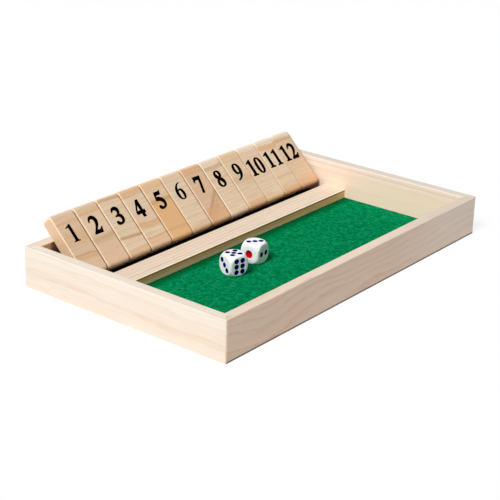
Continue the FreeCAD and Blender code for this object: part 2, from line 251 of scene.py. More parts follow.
class Graph:
    """The nodes of one material, added by short calls."""

    def __init__(self, name):
        self.material = bpy.data.materials.new(name)
        self.material.use_nodes = True
        self.nodes = self.material.node_tree.nodes
        self.links = self.material.node_tree.links
        self.shader = self.nodes["Principled BSDF"]

    def feed(self, socket, value):
        """Links a socket to another, or sets its own value."""
        if isinstance(value, bpy.types.NodeSocket):
            self.links.new(value, socket)
        else:
            socket.default_value = value

    def surface(self, **inputs):
        """Sets the inputs of the surface shader."""
        for name, value in inputs.items():
            self.feed(self.shader.inputs[name.replace("_", " ")], value)

    def local(self, origin=(0, 0, 0), turn=(0, 0, 0)):
        """Millimetres in a frame at origin, in metres, turned by angles in degrees."""
        coordinates = self.nodes.new("ShaderNodeTexCoord")
        mapping = self.nodes.new("ShaderNodeMapping")
        mapping.vector_type = "TEXTURE"
        mapping.inputs["Location"].default_value = origin
        mapping.inputs["Rotation"].default_value = [math.radians(angle) for angle in turn]
        mapping.inputs["Scale"].default_value = (MM, MM, MM)
        self.links.new(coordinates.outputs["Object"], mapping.inputs["Vector"])
        return mapping.outputs["Vector"]

    def math(self, operation, first, second=0.0):
        node = self.nodes.new("ShaderNodeMath")
        node.operation = operation
        self.feed(node.inputs[0], first)
        self.feed(node.inputs[1], second)
        return node.outputs[0]

    def vector(self, operation, first, second=(0, 0, 0)):
        node = self.nodes.new("ShaderNodeVectorMath")
        node.operation = operation
        self.feed(node.inputs[0], first)
        self.feed(node.inputs[1], second)
        return node.outputs["Value" if operation in ("LENGTH", "DOT_PRODUCT") else "Vector"]

    def attribute(self, name):
        """A number that each point of the mesh carries."""
        node = self.nodes.new("ShaderNodeAttribute")
        node.attribute_name = name
        return node.outputs["Fac"]

    def split(self, vector):
        node = self.nodes.new("ShaderNodeSeparateXYZ")
        self.links.new(vector, node.inputs[0])
        return node.outputs

    def noise(self, place, scale, detail=2.0, roughness=0.5, output="Fac"):
        """Noise with scale features in each millimetre along each axis."""
        node = self.nodes.new("ShaderNodeTexNoise")
        node.inputs["Scale"].default_value = 1.0
        node.inputs["Detail"].default_value = detail
        node.inputs["Roughness"].default_value = roughness
        self.links.new(self.vector("MULTIPLY", place, scale), node.inputs["Vector"])
        return node.outputs[output]

    def ramp(self, value, stops):
        """Grey levels or colours at places from 0 to 1."""
        node = self.nodes.new("ShaderNodeValToRGB")
        elements = node.color_ramp.elements
        while len(elements) < len(stops):
            elements.new(0.5)
        for element, (place, level) in zip(elements, stops):
            element.position = place
            element.color = level if isinstance(level, tuple) else (level, level, level, 1.0)
        self.links.new(value, node.inputs[0])
        return node.outputs[0]

    def step(self, value, start, end):
        """0 at start and 1 at end, eased between them."""
        node = self.nodes.new("ShaderNodeMapRange")
        node.interpolation_type = "SMOOTHSTEP"
        self.links.new(value, node.inputs["Value"])
        node.inputs["From Min"].default_value = start
        node.inputs["From Max"].default_value = end
        return node.outputs["Result"]

    def between(self, value, low, high):
        """Noise, which stays near its middle, spread from low to high."""
        node = self.nodes.new("ShaderNodeMapRange")
        self.links.new(value, node.inputs["Value"])
        node.inputs["From Min"].default_value = NOISE_LOW
        node.inputs["From Max"].default_value = NOISE_HIGH
        node.inputs["To Min"].default_value = low
        node.inputs["To Max"].default_value = high
        return node.outputs["Result"]

    def mix(self, share, first, second, blend="MIX"):
        """A mix of two colours, which a Mix node has at sockets 6 and 7, with its result at 2."""
        node = self.nodes.new("ShaderNodeMix")
        node.data_type = "RGBA"
        node.blend_type = blend
        self.feed(node.inputs[0], share)
        self.feed(node.inputs[6], first)
        self.feed(node.inputs[7], second)
        return node.outputs[2]

    def bump(self, height, depth):
        """Bump whose height of 1 stands depth millimetres high."""
        node = self.nodes.new("ShaderNodeBump")
        node.inputs["Strength"].default_value = 1.0
        node.inputs["Distance"].default_value = depth * MM
        self.links.new(height, node.inputs["Height"])
        self.links.new(node.outputs["Normal"], self.shader.inputs["Normal"])


# Grain: how far apart its rings are and how far before and below the wood's middle their pith lies,
# in millimetres, how they sway, wander and wobble, and how strong late wood, streaks and fibres are
Grain = namedtuple("Grain", "spacing pith sway wander wobble late streak fibre")
PINE_GRAIN = Grain(
    spacing=5.0,
    pith=(0.0, 38.0, 22.0),
    sway=0.008,
    wander=5.0,
    wobble=1.2,
    late=0.4,
    streak=0.6,
    fibre=0.35,
)
FRONT_GRAIN = PINE_GRAIN._replace(spacing=5.6, pith=(0.0, 12.0, 14.0), sway=0.011, wander=16.0, late=0.65)
RAIL_GRAIN = PINE_GRAIN._replace(spacing=4.0, pith=(0.0, 60.0, 8.0), wander=4.0, late=0.75)
PANEL_GRAIN = PINE_GRAIN._replace(spacing=9.0, pith=(0.0, 120.0, 14.0))
TILE_GRAIN = PINE_GRAIN._replace(spacing=3.4, wander=4.0, wobble=2.0, streak=0.3, fibre=0.4)
RING_TONES = [(0.0, 0.0), (0.6, 0.1), (0.9, 1.0), (1.0, 0.0)]
GRAIN_TONES = [(0.3, 0.62), (0.7, 1.0)]
RING_RELIEF = 0.6
# Shift of the grain along a board for each millimetre of the board's own place, so that boards differ
BOARD_SHIFT_X = 9
BOARD_SHIFT_Y = 13


def wood(graph, place, grain, pale, late, warm):
    """Growth rings round a pith that runs along X, broad streaks and fine fibres."""
    sway = graph.noise(place, (grain.sway, SWAY_ACROSS, SWAY_ACROSS), detail=1.0, output="Color")
    sway = graph.vector("SUBTRACT", sway, NOISE_MIDDLE)
    swayed = graph.vector("ADD", place, graph.vector("MULTIPLY", sway, (0, grain.wander, grain.wander)))
    across = graph.vector("ADD", graph.vector("MULTIPLY", swayed, (0, 1, 1)), grain.pith)
    radius = graph.math("DIVIDE", graph.vector("LENGTH", across), grain.spacing)
    wobble = graph.noise(swayed, WOBBLE_SCALE, detail=3.0)
    ring = graph.math("ADD", radius, graph.math("MULTIPLY", wobble, grain.wobble))
    ring = graph.ramp(graph.math("FRACT", ring), RING_TONES)
    streak = graph.noise(swayed, STREAK_SCALE, detail=2.0)
    fibre = graph.noise(place, GRAIN_SCALE, detail=3.0, roughness=0.6)
    colour = graph.mix(graph.math("MULTIPLY", ring, grain.late), pale, late)
    colour = graph.mix(graph.between(streak, low=0.0, high=grain.streak), colour, warm)
    colour = graph.mix(grain.fibre, colour, graph.ramp(fibre, GRAIN_TONES), "MULTIPLY")
    graph.bump(graph.math("ADD", fibre, graph.math("MULTIPLY", ring, RING_RELIEF)), depth=0.05)
    graph.surface(Roughness=graph.between(fibre, low=0.5, high=0.62))
    return colour


# A tint on one side of a board: a direction, where along it the tint starts and is full in millimetres,
# its colour and its strength
Tint = namedtuple("Tint", "along start full colour share")
LEFT_TINTS = [Tint((0, 0, 1), 10.0, 28.0, PINE_WHITE, 0.2)]
FRONT_TINTS = [
    Tint((1, 0, 0), 20.0, 120.0, PINE_BLUSH, 0.4),
    Tint((-0.001, -1, 0), 92.85, 93.0, PINE_ORANGE, 0.22),
    Tint((0.002, 0, 1), 31.02, 31.22, PINE_DUSTY, 0.4),
    # Painted contact shadow: a dark line along the foot of the front wall's outer face
    Tint((0, -1, -0.25), 92.6, 92.8, FOOT_SHADE_GREY, 0.9),
]
BACK_TINTS = [
    # Painted shade: the back wall's inner face brown over the bay
    Tint((0, 1, 0), 84.7, 84.55, BAY_SHADE_BROWN, 0.8),
    # Painted light: the left end of that face lighter tan
    Tint((-0.03, -1, 0), -80.44, -80.33, BAY_LIT_TAN, 0.9),
    # Painted shade: near-black towards the foot of that face
    Tint((0, -1, -0.05), -85.8, -85.3, BAY_SHADE_DARK, 0.95),
]
RIGHT_TINTS = [
    # Painted light: the right wall's inner face warmer and lighter towards the front
    Tint((-1, -0.004, 0), -146.75, -146.5, PEACH_PAINTED_LIGHT, 0.8),
    # Painted highlight below the right wall's inner top edge, split by a thin painted shade line
    Tint((-1, 0, 0.1), -144.3, -143.9, INNER_ARRIS_HIGHLIGHT, 0.5),
    Tint((-1, 0, 0.1), -143.83, -143.77, INNER_ARRIS_SHADE, 0.45),
    Tint((-1, 0, 0.1), -143.73, -143.67, INNER_ARRIS_HIGHLIGHT, 0.75),
    Tint((0, 0, 1), 30.7, 30.9, PINE_GREY, 0.75),
]
RAIL_TINTS = [
    # Painted highlight along the front arris of the rail's top
    Tint((0, -1, 1), -18.9, -18.4, RAIL_HIGHLIGHT, 0.8),
    Tint((0, 1, 0), 27.15, 27.05, RAIL_FACE, 0.85),
    Tint((0, -1, -0.1), -27.58, -27.48, RAIL_FOOT, 0.8),
    # Painted bounce light: the rail's front face warmer and lighter towards the right wall
    Tint((0.002, -1, 0), -26.95, -26.75, RAIL_BOUNCE_LIGHT, 0.6),
    Tint((0, -1, 0.1), -26.23, -26.17, RAIL_LINE, 0.9),
    # Painted highlight: a pale line at the top of the rail's front face
    Tint((0, -1, 0.1), -26.13, -26.07, RAIL_HIGHLIGHT, 0.9),
]
# Painted shade on the felt along the rail, and a darker painted contact shadow at the rail's foot
FELT_TINTS = [
    Tint((0, 1, 0), 15.0, 24.5, FELT_SHADE, 0.8),
    Tint((0, 1, 0), 25.4, 26.3, FELT_CONTACT_SHADE, 0.9),
]
# Painted shade: the panel near-black in the bay behind the rail
PANEL_TINTS = [Tint((0, 1, 30), 107.5, 108.4, BAY_SHADE_DARK, 0.97)]


def tinted(graph, place, colour, tints):
    """The colour with each tint laid over it in turn."""
    for tint in tints:
        reach = graph.vector("DOT_PRODUCT", place, tint.along)
        share = graph.math("MULTIPLY", graph.step(reach, tint.start, tint.full), tint.share)
        colour = graph.mix(share, colour, tint.colour)
    return colour


def pine(node, turn=0.0, grain=PINE_GRAIN, pale=PINE_PALE, tints=()):
    """Pale pine with its grain along a board that lies turned by an angle in degrees."""
    low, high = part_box(node)
    graph = Graph(f"pine_{node}")
    place = graph.local((low + high) / 2, (0, 0, turn))
    shift = (low.x * BOARD_SHIFT_X + low.y * BOARD_SHIFT_Y) / MM
    along = graph.vector("ADD", place, (shift, 0, 0))
    colour = wood(graph, along, grain, pale, PINE_LATE, PINE_WARM)
    graph.surface(Base_Color=tinted(graph, graph.local(), colour, tints))
    return graph.material


# Bands of colour across a tile: start and end below its top, slant, softness, colour and strength
Band = namedtuple("Band", "start end slant blur colour share")
ABOVE = -5.0
BELOW = 60.0
# Each tile: its colour, its bands, the arris, how strong the painted highlight on its left arris and the
# painted shade of the gap on its right one are, and how far the stamped number sits off its place, across
# and up, and how far its ink spread
Look = namedtuple("Look", "base bands arris wear gap stamp")
# The pale bands at the tops of tiles 8, 10, 11 and 12 are a painted highlight
TILE_LOOKS = {
    1: Look(TAN, [
        Band(8.8, 10.8, 0.0, 0.6, AMBER, 0.7),
        Band(17.5, 29.0, 0.0, 2.5, AMBER, 0.45),
        Band(35.8, 37.6, -0.05, 0.5, UMBER, 0.7),
        Band(37.4, 41.0, -0.05, 0.9, AMBER, 0.7),
    ], 0.8, 0.5, 0.8, (-0.8, 0.9, 0.16)),
    2: Look(TAN, [
        Band(6.5, 8.8, 0.0, 0.6, AMBER, 0.7),
        Band(9.0, 26.0, 0.0, 2.0, SAND, 0.5),
        Band(27.5, 32.5, 0.0, 1.5, UMBER, 0.4),
        Band(33.0, BELOW, 0.0, 1.5, ROSE, 0.5),
    ], 0.8, 0.6, 0.6, (-1.3, 0.8, 0.38)),
    3: Look(SAND, [
        Band(2.2, 4.8, 0.0, 0.6, UMBER, 0.8),
        Band(12.0, 14.5, 0.0, 0.8, UMBER, 0.25),
        Band(35.8, 38.0, -0.04, 0.5, UMBER, 0.9),
        Band(47.0, BELOW, 0.0, 1.0, AMBER, 0.6),
    ], 0.8, 0.5, 0.7, (-0.5, 1.1, 0.41)),
    4: Look(SAND, [
        Band(ABOVE, 7.8, 0.0, 0.4, AMBER, 0.75),
        Band(21.0, 29.0, 0.0, 2.0, ROSE, 0.6),
        Band(29.8, 35.0, -0.08, 0.8, AMBER, 0.9),
        Band(42.4, 44.2, 0.0, 0.5, AMBER, 0.9),
        Band(44.5, BELOW, 0.0, 1.0, AMBER, 0.5),
    ], 0.8, 0.5, 0.8, (-1.5, 0.2, 0.33)),
    5: Look(BUFF, [
        Band(ABOVE, 8.4, 0.0, 0.5, HONEY, 0.5),
        Band(15.8, BELOW, 0.0, 0.7, HONEY, 1.0),
        Band(17.0, 20.0, 0.0, 0.8, UMBER, 0.6),
        Band(42.0, 44.5, 0.0, 0.7, UMBER, 0.35),
    ], 0.7, 0.5, 0.5, (-0.8, 0.7, 0.43)),
    6: Look(SAND, [
        Band(ABOVE, 6.8, 0.1, 0.6, ROSE, 0.35),
        Band(47.5, BELOW, 0.0, 1.0, AMBER, 0.5),
    ], 0.5, 0.3, 0.7, (-0.7, 1.6, 0.16)),
    7: Look(RUSSET, [
        Band(2.2, 8.6, 0.0, 0.5, AMBER, 0.65),
        Band(34.6, 38.0, 0.9, 0.6, UMBER, 0.7),
        Band(34.6, 45.0, 0.9, 2.5, UMBER, 0.45),
        Band(39.0, BELOW, 0.0, 1.5, AMBER, 0.7),
    ], 0.8, 0.5, 0.5, (-0.7, 1.0, 0.44)),
    8: Look(SAND, [
        # Painted highlight on the top
        Band(ABOVE, 6.0, 0.06, 1.0, TILE_TOP_HIGHLIGHT, 0.4),
        Band(7.2, 10.6, 0.06, 0.7, UMBER, 0.6),
        Band(17.5, 20.5, 0.0, 1.0, AMBER, 0.4),
    ], 0.7, 0.5, 0.4, (-0.5, -0.4, 0.4)),
    9: Look(BUFF, [
        Band(5.8, 8.6, 0.0, 1.0, HONEY, 0.45),
        Band(23.5, 29.5, 0.0, 1.5, UMBER, 0.3),
        Band(46.8, BELOW, 0.0, 0.9, AMBER, 0.9),
    ], 0.7, 0.4, 0.2, (-0.4, -0.2, 0.35)),
    10: Look(SAND, [
        # Painted highlight on the top
        Band(ABOVE, 5.5, 0.0, 1.0, TILE_TOP_HIGHLIGHT, 0.6),
        Band(6.0, 29.5, 0.05, 1.0, ROSE, 0.45),
        Band(48.0, BELOW, 0.0, 1.0, HONEY, 0.5),
    ], 0.35, 0.0, 0.2, (-1.9, -1.7, 0.43)),
    11: Look(SAND, [
        # Painted highlight on the top
        Band(ABOVE, 5.5, 0.0, 1.0, TILE_TOP_HIGHLIGHT, 0.5),
        Band(6.0, 10.9, -0.03, 0.6, AMBER, 0.8),
        Band(35.5, 38.5, 0.0, 1.0, UMBER, 0.3),
        Band(42.0, BELOW, 0.0, 1.5, UMBER, 0.25),
        Band(47.5, BELOW, 0.0, 0.9, AMBER, 0.9),
    ], 0.5, 0.2, 0.2, (-1.2, -0.4, 0.4)),
    12: Look(TAN, [
        # Painted highlight on the top
        Band(ABOVE, 5.0, 0.0, 1.0, TILE_TOP_HIGHLIGHT, 0.6),
        Band(5.5, 8.6, 0.0, 0.8, UMBER, 0.5),
        Band(20.0, BELOW, 0.0, 4.0, ROSE, 0.3),
        Band(44.5, BELOW, 0.0, 1.0, AMBER, 0.6),
        Band(48.0, BELOW, 0.0, 0.8, AMBER, 0.6),
    ], 0.35, 0.1, 0.3, (-2.2, -0.1, 0.41)),
}

# How far each tile's wood lies from the last one's, and its pith before and below the tile's axis:
# the first place, the step to the next tile, and after how many tiles it starts again
TILE_SEED = Vector((71.0, 37.0, 53.0))
PITH_BEFORE = (18.0, 7.0, 4)
PITH_BELOW = (26.0, 11.0, 3)
BAND_WANDER = 0.8
BAND_STRENGTH = 0.8


def stepped(number, start, step, count):
    """A start plus a step for each number, over again after a count."""
    return start + step * (number % count)


def tile_wood(number):
    """Tan hardwood with its grain across the tile and the bands that this tile shows."""
    look = TILE_LOOKS[number]
    graph = Graph(f"tile_wood_{number:02d}")
    place = graph.local()
    seed = TILE_SEED * number
    seeded = graph.vector("ADD", place, seed)
    pith = (0.0, stepped(number, *PITH_BEFORE) - seed.y, stepped(number, *PITH_BELOW) - seed.z)
    colour = wood(graph, seeded, TILE_GRAIN._replace(pith=pith), look.base, TILE_LATE, ROSE)
    axes = graph.split(place)
    depth = graph.math("SUBTRACT", TILE_TOP, axes["Z"])
    wander = graph.noise(seeded, BAND_SCALE, detail=2.0)
    depth = graph.math("ADD", depth, graph.between(wander, low=-BAND_WANDER, high=BAND_WANDER))
    for band in look.bands:
        height = graph.math("ADD", depth, graph.math("MULTIPLY", axes["X"], band.slant))
        inside = graph.step(height, band.start - band.blur, band.start + band.blur)
        outside = graph.step(height, band.end + band.blur, band.end - band.blur)
        share = graph.math("MULTIPLY", graph.math("MULTIPLY", inside, outside), band.share)
        colour = graph.mix(share, colour, graph.mix(BAND_STRENGTH, colour, band.colour))
    edges = [
        # Painted highlight on the left arris
        Tint((1, 0, 0), -10.9, -11.2, ARRIS_HIGHLIGHT, look.wear),
        # Painted shade of the gap along the right arris
        Tint((1, 0, 0), 9.4, 10.5, GAP_SHADE_BROWN, look.gap),
        Tint((1, 0, 0), -11.36, -11.39, TILE_END, 0.8),
        # Painted highlight along the top of the tile
        Tint((0, 0, 1), 41.8, 43.6, TILE_TOP_HIGHLIGHT, 0.5),
    ]
    graph.surface(Base_Color=tinted(graph, place, colour, edges))
    return graph.material


def plywood():
    """The floor panel, painted near-black in the bay behind the rail as the deep shade there."""
    graph = Graph("plywood_panel")
    place = graph.local()
    colour = wood(graph, place, PANEL_GRAIN, PLY_PALE, PLY_LATE, PLY_WARM)
    graph.surface(Base_Color=tinted(graph, place, colour, PANEL_TINTS), Specular_IOR_Level=0.05)
    return graph.material


def felt_cloth():
    """Pressed wool: mottled greens with pale and dark flecks, with painted shade along the rail."""
    graph = Graph("green_felt")
    place = graph.local()
    mottle = graph.noise(place, MOTTLE_SCALE, detail=4.0, roughness=0.6)
    fleck = graph.noise(place, FLECK_SCALE, detail=2.0, roughness=0.6)
    colour = graph.ramp(mottle, [(0.32, FELT_DARK), (0.5, FELT_GREEN), (0.68, FELT_LIGHT)])
    colour = graph.mix(graph.step(fleck, start=0.54, end=0.74), colour, FLECK_PALE)
    colour = graph.mix(graph.step(fleck, start=0.44, end=0.28), colour, FLECK_DARK)
    # Painted shade along the rail and a painted contact shadow at its foot
    colour = tinted(graph, place, colour, FELT_TINTS)
    graph.bump(graph.math("ADD", mottle, fleck), depth=0.15)
    graph.surface(Base_Color=colour, Roughness=1.0, Specular_IOR_Level=0.0)
    return graph.material


def felt_fibre():
    graph = Graph("felt_fibre")
    tint = graph.noise(graph.local(), FIBRE_SCALE, detail=2.0)
    colour = graph.ramp(tint, [(0.35, FIBRE_DARK), (0.65, FIBRE_PALE)])
    graph.surface(Base_Color=colour, Roughness=1.0, Specular_IOR_Level=0.0)
    return graph.material


def steel():
    """Drawn steel: fine lines along the rod."""
    graph = Graph("drawn_steel")
    lines = graph.noise(graph.local(), STEEL_SCALE, detail=3.0)
    graph.surface(
        Base_Color=graph.ramp(lines, [(0.3, STEEL_GREY), (0.7, STEEL_BRIGHT)]),
        Roughness=graph.between(lines, low=0.22, high=0.38),
        Metallic=1.0,
    )
    graph.bump(lines, depth=0.01)
    return graph.material


def die_plastic():
    """Polished white plastic with painted pips: navy, and red for the ace."""
    graph = Graph("dice_plastic")
    place = graph.local()
    painted = graph.step(graph.attribute("pip"), start=-PIP_RIM, end=PIP_RIM)
    cloud = graph.noise(place, CLOUD_SCALE, detail=3.0)
    body = graph.ramp(cloud, [(0.3, DIE_IVORY), (0.7, DIE_WHITE)])
    paint = graph.mix(graph.attribute("ace"), PIP_NAVY, ACE_RED)
    scuff = graph.noise(place, SCUFF_SCALE, detail=4.0)
    bare = graph.math("SUBTRACT", 1.0, painted)
    graph.surface(
        Base_Color=graph.mix(painted, body, paint),
        Roughness=graph.between(scuff, low=0.1, high=0.2),
        Subsurface_Weight=graph.math("MULTIPLY", bare, DIE_GLOW),
        Subsurface_Radius=(1.0, 1.0, 1.0),
        Subsurface_Scale=DIE_GLOW_REACH,
        Specular_IOR_Level=graph.math("MULTIPLY", bare, DIE_POLISH),
    )
    graph.bump(scuff, depth=0.004)
    return graph.material


def ink():
    """Black printing ink with faint thin places."""
    graph = Graph("black_ink")
    thin = graph.noise(graph.local(), INK_SCALE, detail=5.0, roughness=0.7)
    graph.surface(
        Base_Color=graph.ramp(thin, [(0.35, INK_BLACK), (0.75, INK_THIN)]),
        Roughness=graph.between(thin, low=0.5, high=0.7),
        Specular_IOR_Level=0.0,
    )
    graph.bump(thin, depth=0.01)
    return graph.material


# Digits on a grid 100 high: a start point, then straight lines (2 numbers) and curves (6 numbers)
DIGIT_GRID = 100.0
DIGIT_WIDTH = 66.0
NINE_TURN = (66, 99)
SIX = [
    ((61, 101), [(25, 95, 3, 70, 3, 37), (3, 13, 15, -1, 34, -1), (52, -1, 63, 12, 63, 32),
                 (63, 52, 54, 64, 41, 64), (35, 64, 30, 62, 26, 58), (30, 78, 41, 92, 61, 97)]),
    ((33, 56), [(41, 56, 45, 46, 45, 29), (45, 12, 41, 4, 34, 4), (26, 4, 22, 14, 22, 34),
                (22, 47, 25, 56, 33, 56)]),
]


def turned_round(values):
    """Places of a six, X and Y in turn, as they lie in a nine."""
    return tuple(NINE_TURN[place % 2] - value for place, value in enumerate(values))


DIGITS = {
    "0": [
        ((33, 100), [(52, 100, 63, 80, 63, 49), (63, 18, 52, -1, 33, -1), (14, -1, 3, 18, 3, 49),
                     (3, 80, 14, 100, 33, 100)]),
        ((33, 95), [(41, 95, 45, 82, 45, 50), (45, 17, 41, 4, 33, 4), (25, 4, 21, 17, 21, 50),
                    (21, 82, 25, 95, 33, 95)]),
    ],
    "1": [
        ((44, 100), [(44, 16), (44, 7, 47, 4, 55, 3), (55, 0), (14, 0), (14, 3), (23, 4, 26, 7, 26, 16),
                     (26, 74), (26, 81, 24, 84, 20, 84), (17, 84, 13, 83, 9, 81), (8, 84), (39, 100)]),
    ],
    "2": [
        ((3, 0), [(57, 0), (65, 28), (61, 28), (57, 20, 53, 17, 45, 17), (23, 17),
                  (45, 38, 59, 52, 59, 72), (59, 88, 48, 100, 32, 100), (16, 100, 6, 88, 3, 70), (7, 69),
                  (10, 79, 16, 85, 24, 85), (34, 85, 40, 77, 40, 66), (40, 48, 26, 28, 3, 4)]),
    ],
    "3": [
        ((5, 77), [(10, 92, 20, 100, 33, 100), (48, 100, 57, 91, 57, 79), (57, 69, 52, 61, 43, 56),
                   (55, 52, 62, 44, 62, 32), (62, 12, 46, -1, 24, -1), (10, -1, 3, 4, 3, 11),
                   (3, 17, 7, 20, 11, 20), (20, 20, 22, 8, 31, 8), (39, 8, 45, 15, 45, 25),
                   (45, 39, 35, 47, 17, 46), (17, 49), (32, 52, 40, 59, 40, 70), (40, 79, 34, 85, 25, 85),
                   (18, 85, 13, 82, 8, 75)]),
    ],
    "4": [
        ((38, 100), [(53, 100), (53, 37), (64, 37), (64, 21), (53, 21), (53, 0), (35, 0), (35, 21),
                     (3, 21), (3, 34)]),
        ((35, 37), [(11, 37), (35, 77)]),
    ],
    "5": [
        ((17, 98), [(53, 98), (60, 102), (54, 81), (22, 81), (18, 69), (45, 69, 62, 54, 62, 35),
                    (62, 14, 46, -1, 23, -1), (10, -1, 3, 4, 3, 11), (3, 17, 7, 20, 11, 20),
                    (20, 20, 22, 8, 31, 8), (40, 8, 46, 15, 46, 25), (46, 42, 31, 50, 6, 51)]),
    ],
    "6": SIX,
    "7": [
        ((9, 98), [(62, 98), (62, 93), (36, -1), (22, -1), (46, 81), (24, 81), (15, 81, 11, 77, 8, 67),
                   (4, 68)]),
    ],
    "8": [
        ((33, 100), [(49, 100, 58, 91, 58, 78), (58, 68, 53, 61, 44, 55), (56, 48, 62, 39, 62, 27),
                     (62, 10, 50, -1, 32, -1), (14, -1, 4, 9, 4, 24), (4, 36, 10, 43, 21, 49),
                     (11, 56, 6, 64, 6, 74), (6, 90, 17, 100, 33, 100)]),
        ((33, 95), [(22, 95, 20, 83, 26, 74), (29, 69, 33, 65, 38, 62), (46, 71, 45, 95, 33, 95)]),
        ((26, 44), [(16, 36, 15, 4, 33, 4), (50, 4, 50, 26, 26, 44)]),
    ],
    "9": [(turned_round(start), [turned_round(part) for part in parts]) for start, parts in SIX],
}


def add_contour(curve, start, parts, shift, scale):
    """One closed outline of a digit as a Bezier spline."""
    spline = curve.splines.new("BEZIER")
    spline.bezier_points.add(len(parts) - 1 if parts[-1][-2:] == start else len(parts))
    points = spline.bezier_points
    spline.use_cyclic_u = True

    def spot(x, y):
        return Vector((x + shift, y, 0.0)) * scale

    def third(near, far):
        """A straight line's handle, a third of the way along it."""
        return spot(*near).lerp(spot(*far), 1 / 3)

    points[0].co = spot(*start)
    for point in points:
        point.handle_left_type = "FREE"
        point.handle_right_type = "FREE"
    here = start
    for index, part in enumerate(parts):
        end = part[-2:]
        first, last = points[index], points[(index + 1) % len(points)]
        last.co = spot(*end)
        straight = len(part) == 2
        first.handle_right = third(here, end) if straight else spot(*part[0:2])
        last.handle_left = third(end, here) if straight else spot(*part[2:4])
        here = end
    if here != start:
        points[-1].handle_right = third(here, start)
        points[0].handle_left = third(start, here)


def number_mesh(number, spread):
    """The printed number as a thin layer, upright on the XZ plane round its own middle."""
    text = str(number)
    curve = bpy.data.curves.new(f"number_{number:02d}_outline", "CURVE")
    curve.dimensions = "2D"
    curve.fill_mode = "BOTH"
    curve.resolution_u = NUMBER_CURVE_STEPS
    curve.extrude = INK_THICKNESS * MM / 2
    curve.offset = spread * MM
    scale = NUMBER_HEIGHT * MM / DIGIT_GRID
    for index, digit in enumerate(text):
        shift = (index - (len(text) - 1) / 2) * (DIGIT_WIDTH + NUMBER_PAIR_GAP) - DIGIT_WIDTH / 2
        for start, parts in DIGITS[digit]:
            add_contour(curve, start, parts, shift, scale)
    holder = bpy.data.objects.new("number_outline", curve)
    mesh = bpy.data.meshes.new_from_object(holder)
    bpy.data.objects.remove(holder)
    bpy.data.curves.remove(curve)
    mesh.transform(Matrix.Translation((0, -NUMBER_HEIGHT * MM / 2, 0)))
    mesh.transform(Matrix.Rotation(math.radians(90), 4, "X"))
    mesh.name = f"number_{number:02d}"
    return mesh


def tile_frame(joint, node):
    """A tile's rest frame: its middle on the rod's axis, and its lean, by which its range passes 90."""
    low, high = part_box(node)
    origin = Vector(((low.x + high.x) / 2, joint["pos_m"][1], joint["pos_m"][2]))
    return origin, joint["range_deg"][1] - 90.0


def add_object(name, mesh, material):
    piece = bpy.data.objects.new(name, mesh)
    mesh.materials.clear()
    mesh.materials.append(material)
    bpy.context.scene.collection.objects.link(piece)
    return piece


def take_mesh(shape, name):
    """The mesh of a finished shape, which is freed."""
    mesh = bpy.data.meshes.new(name)
    shape.to_mesh(mesh)
    shape.free()
    return mesh


def dress(node, material):
    """Gives a CAD node its material."""
    mesh = frame["nodes"][node].data
    mesh.materials.clear()
    mesh.materials.append(material)


def tile_outline(inset, crown):
    """Y and Z of a tile's end, in millimetres, drawn in by an inset and, at both tips, by a crown."""
    corners = (
        (-1, crown - TILE_HEEL, TILE_HEEL_RADIUS, 180),
        (1, crown - TILE_HEEL, TILE_UNDER_RADIUS, 270),
        (1, TILE_TOP - crown, TILE_BACK_RADIUS, 0),
        (-1, TILE_TOP - crown, TILE_FRONT_RADIUS, 90),
    )
    outline = []
    for side, tip, radius, start in corners:
        y = side * (TILE_FACE - radius)
        z = tip - math.copysign(radius, tip)
        for step in range(TILE_CORNER_STEPS + 1):
            angle = math.radians(start + 90 * step / TILE_CORNER_STEPS)
            reach = radius - inset
            outline.append((y + reach * math.cos(angle), z + reach * math.sin(angle)))
    return outline


def add_ring(shape, x, outline):
    return [shape.verts.new(Vector((x, y, z)) * MM) for y, z in outline]


def skin(shape, near, far):
    """Faces between two rings with as many points."""
    for index in range(len(near)):
        after = (index + 1) % len(near)
        shape.faces.new((near[index], near[after], far[after], far[index]))


def close_end(shape, outer, inner):
    """A flat end between an outline and the bore in it."""
    edges = []
    for ring in (outer, inner):
        edges += [shape.edges.get((ring[index - 1], ring[index])) for index in range(len(ring))]
    bmesh.ops.triangle_fill(shape, edges=edges, use_beauty=True)


def tile_stations(arris):
    """Places across a tile, with how far its outline is drawn in there by the arris and by the crown."""
    half = TILE_WIDTH / 2
    start = half - TILE_CROWN_WIDTH
    width = TILE_CROWN_WIDTH - arris
    right = [(start + width * step / TILE_CROWN_STEPS, 0.0) for step in range(TILE_CROWN_STEPS)]
    for step in range(TILE_ARRIS_STEPS + 1):
        angle = math.radians(90 * step / TILE_ARRIS_STEPS)
        right.append((half - arris * (1 - math.sin(angle)), arris * (1 - math.cos(angle))))
    stations = []
    for place, inset in right:
        share = 1 - (half - place) / TILE_CROWN_WIDTH
        stations.append((place, inset, TILE_CROWN * (1 - math.sqrt(1 - share * share))))
    return [(-place, inset, crown) for place, inset, crown in reversed(stations)] + stations


def tile_mesh(arris):
    """A moulded tile with rounded arrises and corners, and a bore through its heel."""
    shape = bmesh.new()
    half = TILE_WIDTH / 2
    stations = tile_stations(arris)
    rings = [add_ring(shape, x, tile_outline(inset, crown)) for x, inset, crown in stations]
    for near, far in zip(rings, rings[1:]):
        skin(shape, near, far)
    turns = [math.tau * step / TILE_BORE_STEPS for step in range(TILE_BORE_STEPS)]
    circle = [(TILE_BORE_RADIUS * math.cos(turn), TILE_BORE_RADIUS * math.sin(turn)) for turn in turns]
    bores = [add_ring(shape, x, circle) for x in (-half, half)]
    skin(shape, *bores)
    close_end(shape, rings[0], bores[0])
    close_end(shape, rings[-1], bores[1])
    bmesh.ops.recalc_face_normals(shape, faces=shape.faces)
    mesh = take_mesh(shape, "moulded_tile")
    mesh.shade_smooth()
    mesh.set_sharp_from_angle(angle=math.radians(TILE_SHARP_ANGLE))
    return mesh


